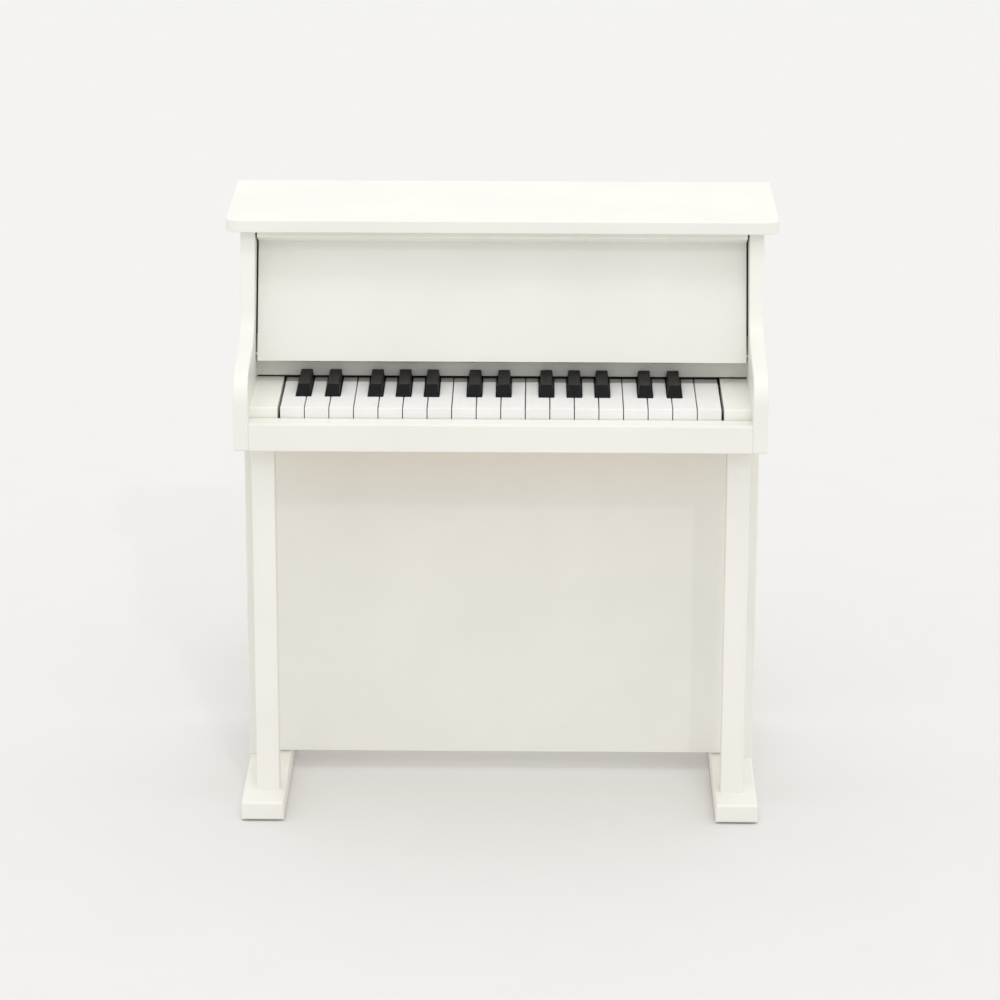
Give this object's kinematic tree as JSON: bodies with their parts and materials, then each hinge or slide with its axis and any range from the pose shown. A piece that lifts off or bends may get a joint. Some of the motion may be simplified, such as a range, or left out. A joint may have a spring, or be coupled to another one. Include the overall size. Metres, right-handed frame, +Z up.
{
  "type": "toy upright piano",
  "caption": "Child's toy upright piano in a painted case: hinged fallboard, working keys that strike tone rods, two front legs and toe blocks.",
  "frame": {"origin": "on the floor, under the middle of the object's bounding box", "axes": "+Z up, +X along the keyboard towards the treble, +Y towards the back; the player sits at -Y"},
  "size_m": [0.507, 0.274, 0.5465],
  "materials": {
    "painted_wood": "satin off-white paint on wood board",
    "bare_wood": "bare sanded plywood",
    "white_key": "semi-gloss white plastic",
    "black_key": "satin black plastic",
    "steel": "bright drawn steel",
    "cast_iron": "black painted cast iron",
    "felt": "pressed wool felt",
    "nylon": "natural nylon"
  },
  "bodies": {
    "case": {"back_panel": "bare_wood", "balance_rail": "bare_wood", "case_screws": "steel", "fallboard_buffers": "felt", "foot_glides": "felt", "foot_left": "painted_wood", "foot_right": "painted_wood", "front_leg_left": "painted_wood", "front_leg_right": "painted_wood", "key_bed": "bare_wood", "key_block_left": "painted_wood", "key_block_right": "painted_wood", "key_felts": "felt", "key_pivot_rod": "steel", "key_slip": "painted_wood", "key_springs": "steel", "lower_front_panel": "painted_wood", "name_board": "painted_wood", "pivot_brackets": "steel", "pivot_bushes": "nylon", "rear_rest_rail": "bare_wood", "side_panel_left": "painted_wood", "side_panel_right": "painted_wood", "tone_bar": "cast_iron", "tone_rods": "steel", "top_lid": "painted_wood", "upper_front_panel": "painted_wood"},
    "fallboard": {"fallboard": "painted_wood", "fallboard_lip": "painted_wood", "fallboard_pins": "steel"},
    "white_key_c1": {"white_key_c1": "white_key"},
    "black_key_cs1": {"black_key_cs1": "black_key"},
    "white_key_d1": {"white_key_d1": "white_key"},
    "black_key_ds1": {"black_key_ds1": "black_key"},
    "white_key_e1": {"white_key_e1": "white_key"},
    "white_key_f1": {"white_key_f1": "white_key"},
    "black_key_fs1": {"black_key_fs1": "black_key"},
    "white_key_g1": {"white_key_g1": "white_key"},
    "black_key_gs1": {"black_key_gs1": "black_key"},
    "white_key_a1": {"white_key_a1": "white_key"},
    "black_key_as1": {"black_key_as1": "black_key"},
    "white_key_b1": {"white_key_b1": "white_key"},
    "white_key_c2": {"white_key_c2": "white_key"},
    "black_key_cs2": {"black_key_cs2": "black_key"},
    "white_key_d2": {"white_key_d2": "white_key"},
    "black_key_ds2": {"black_key_ds2": "black_key"},
    "white_key_e2": {"white_key_e2": "white_key"},
    "white_key_f2": {"white_key_f2": "white_key"},
    "black_key_fs2": {"black_key_fs2": "black_key"},
    "white_key_g2": {"white_key_g2": "white_key"},
    "black_key_gs2": {"black_key_gs2": "black_key"},
    "white_key_a2": {"white_key_a2": "white_key"},
    "black_key_as2": {"black_key_as2": "black_key"},
    "white_key_b2": {"white_key_b2": "white_key"},
    "white_key_c3": {"white_key_c3": "white_key"},
    "black_key_cs3": {"black_key_cs3": "black_key"},
    "white_key_d3": {"white_key_d3": "white_key"},
    "black_key_ds3": {"black_key_ds3": "black_key"},
    "white_key_e3": {"white_key_e3": "white_key"},
    "white_key_f3": {"white_key_f3": "white_key"}
  },
  "joints": [
    {"name": "fallboard_hinge", "type": "hinge", "parent": "case", "child": "fallboard", "pos_m": [0, -0.0255, 0.4195], "axis": [1, 0, 0], "range_deg": [0, 112.4]},
    {"name": "white_c1_press", "type": "hinge", "parent": "case", "child": "white_key_c1", "pos_m": [0, -0.01, 0.386], "axis": [1, 0, 0], "range_deg": [0, 3.5], "stiffness_Nm_per_rad": 0.3, "springref_deg": -6.88, "deforming": ["key_springs"]},
    {"name": "black_cs1_press", "type": "hinge", "parent": "case", "child": "black_key_cs1", "pos_m": [0, -0.01, 0.386], "axis": [1, 0, 0], "range_deg": [0, 3.5], "stiffness_Nm_per_rad": 0.3, "springref_deg": -6.88},
    {"name": "white_d1_press", "type": "hinge", "parent": "case", "child": "white_key_d1", "pos_m": [0, -0.01, 0.386], "axis": [1, 0, 0], "range_deg": [0, 3.5], "stiffness_Nm_per_rad": 0.3, "springref_deg": -6.88},
    {"name": "black_ds1_press", "type": "hinge", "parent": "case", "child": "black_key_ds1", "pos_m": [0, -0.01, 0.386], "axis": [1, 0, 0], "range_deg": [0, 3.5], "stiffness_Nm_per_rad": 0.3, "springref_deg": -6.88},
    {"name": "white_e1_press", "type": "hinge", "parent": "case", "child": "white_key_e1", "pos_m": [0, -0.01, 0.386], "axis": [1, 0, 0], "range_deg": [0, 3.5], "stiffness_Nm_per_rad": 0.3, "springref_deg": -6.88},
    {"name": "white_f1_press", "type": "hinge", "parent": "case", "child": "white_key_f1", "pos_m": [0, -0.01, 0.386], "axis": [1, 0, 0], "range_deg": [0, 3.5], "stiffness_Nm_per_rad": 0.3, "springref_deg": -6.88},
    {"name": "black_fs1_press", "type": "hinge", "parent": "case", "child": "black_key_fs1", "pos_m": [0, -0.01, 0.386], "axis": [1, 0, 0], "range_deg": [0, 3.5], "stiffness_Nm_per_rad": 0.3, "springref_deg": -6.88},
    {"name": "white_g1_press", "type": "hinge", "parent": "case", "child": "white_key_g1", "pos_m": [0, -0.01, 0.386], "axis": [1, 0, 0], "range_deg": [0, 3.5], "stiffness_Nm_per_rad": 0.3, "springref_deg": -6.88},
    {"name": "black_gs1_press", "type": "hinge", "parent": "case", "child": "black_key_gs1", "pos_m": [0, -0.01, 0.386], "axis": [1, 0, 0], "range_deg": [0, 3.5], "stiffness_Nm_per_rad": 0.3, "springref_deg": -6.88},
    {"name": "white_a1_press", "type": "hinge", "parent": "case", "child": "white_key_a1", "pos_m": [0, -0.01, 0.386], "axis": [1, 0, 0], "range_deg": [0, 3.5], "stiffness_Nm_per_rad": 0.3, "springref_deg": -6.88},
    {"name": "black_as1_press", "type": "hinge", "parent": "case", "child": "black_key_as1", "pos_m": [0, -0.01, 0.386], "axis": [1, 0, 0], "range_deg": [0, 3.5], "stiffness_Nm_per_rad": 0.3, "springref_deg": -6.88},
    {"name": "white_b1_press", "type": "hinge", "parent": "case", "child": "white_key_b1", "pos_m": [0, -0.01, 0.386], "axis": [1, 0, 0], "range_deg": [0, 3.5], "stiffness_Nm_per_rad": 0.3, "springref_deg": -6.88},
    {"name": "white_c2_press", "type": "hinge", "parent": "case", "child": "white_key_c2", "pos_m": [0, -0.01, 0.386], "axis": [1, 0, 0], "range_deg": [0, 3.5], "stiffness_Nm_per_rad": 0.3, "springref_deg": -6.88},
    {"name": "black_cs2_press", "type": "hinge", "parent": "case", "child": "black_key_cs2", "pos_m": [0, -0.01, 0.386], "axis": [1, 0, 0], "range_deg": [0, 3.5], "stiffness_Nm_per_rad": 0.3, "springref_deg": -6.88},
    {"name": "white_d2_press", "type": "hinge", "parent": "case", "child": "white_key_d2", "pos_m": [0, -0.01, 0.386], "axis": [1, 0, 0], "range_deg": [0, 3.5], "stiffness_Nm_per_rad": 0.3, "springref_deg": -6.88},
    {"name": "black_ds2_press", "type": "hinge", "parent": "case", "child": "black_key_ds2", "pos_m": [0, -0.01, 0.386], "axis": [1, 0, 0], "range_deg": [0, 3.5], "stiffness_Nm_per_rad": 0.3, "springref_deg": -6.88},
    {"name": "white_e2_press", "type": "hinge", "parent": "case", "child": "white_key_e2", "pos_m": [0, -0.01, 0.386], "axis": [1, 0, 0], "range_deg": [0, 3.5], "stiffness_Nm_per_rad": 0.3, "springref_deg": -6.88},
    {"name": "white_f2_press", "type": "hinge", "parent": "case", "child": "white_key_f2", "pos_m": [0, -0.01, 0.386], "axis": [1, 0, 0], "range_deg": [0, 3.5], "stiffness_Nm_per_rad": 0.3, "springref_deg": -6.88},
    {"name": "black_fs2_press", "type": "hinge", "parent": "case", "child": "black_key_fs2", "pos_m": [0, -0.01, 0.386], "axis": [1, 0, 0], "range_deg": [0, 3.5], "stiffness_Nm_per_rad": 0.3, "springref_deg": -6.88},
    {"name": "white_g2_press", "type": "hinge", "parent": "case", "child": "white_key_g2", "pos_m": [0, -0.01, 0.386], "axis": [1, 0, 0], "range_deg": [0, 3.5], "stiffness_Nm_per_rad": 0.3, "springref_deg": -6.88},
    {"name": "black_gs2_press", "type": "hinge", "parent": "case", "child": "black_key_gs2", "pos_m": [0, -0.01, 0.386], "axis": [1, 0, 0], "range_deg": [0, 3.5], "stiffness_Nm_per_rad": 0.3, "springref_deg": -6.88},
    {"name": "white_a2_press", "type": "hinge", "parent": "case", "child": "white_key_a2", "pos_m": [0, -0.01, 0.386], "axis": [1, 0, 0], "range_deg": [0, 3.5], "stiffness_Nm_per_rad": 0.3, "springref_deg": -6.88},
    {"name": "black_as2_press", "type": "hinge", "parent": "case", "child": "black_key_as2", "pos_m": [0, -0.01, 0.386], "axis": [1, 0, 0], "range_deg": [0, 3.5], "stiffness_Nm_per_rad": 0.3, "springref_deg": -6.88},
    {"name": "white_b2_press", "type": "hinge", "parent": "case", "child": "white_key_b2", "pos_m": [0, -0.01, 0.386], "axis": [1, 0, 0], "range_deg": [0, 3.5], "stiffness_Nm_per_rad": 0.3, "springref_deg": -6.88},
    {"name": "white_c3_press", "type": "hinge", "parent": "case", "child": "white_key_c3", "pos_m": [0, -0.01, 0.386], "axis": [1, 0, 0], "range_deg": [0, 3.5], "stiffness_Nm_per_rad": 0.3, "springref_deg": -6.88},
    {"name": "black_cs3_press", "type": "hinge", "parent": "case", "child": "black_key_cs3", "pos_m": [0, -0.01, 0.386], "axis": [1, 0, 0], "range_deg": [0, 3.5], "stiffness_Nm_per_rad": 0.3, "springref_deg": -6.88},
    {"name": "white_d3_press", "type": "hinge", "parent": "case", "child": "white_key_d3", "pos_m": [0, -0.01, 0.386], "axis": [1, 0, 0], "range_deg": [0, 3.5], "stiffness_Nm_per_rad": 0.3, "springref_deg": -6.88},
    {"name": "black_ds3_press", "type": "hinge", "parent": "case", "child": "black_key_ds3", "pos_m": [0, -0.01, 0.386], "axis": [1, 0, 0], "range_deg": [0, 3.5], "stiffness_Nm_per_rad": 0.3, "springref_deg": -6.88},
    {"name": "white_e3_press", "type": "hinge", "parent": "case", "child": "white_key_e3", "pos_m": [0, -0.01, 0.386], "axis": [1, 0, 0], "range_deg": [0, 3.5], "stiffness_Nm_per_rad": 0.3, "springref_deg": -6.88},
    {"name": "white_f3_press", "type": "hinge", "parent": "case", "child": "white_key_f3", "pos_m": [0, -0.01, 0.386], "axis": [1, 0, 0], "range_deg": [0, 3.5], "stiffness_Nm_per_rad": 0.3, "springref_deg": -6.88}
  ]
}
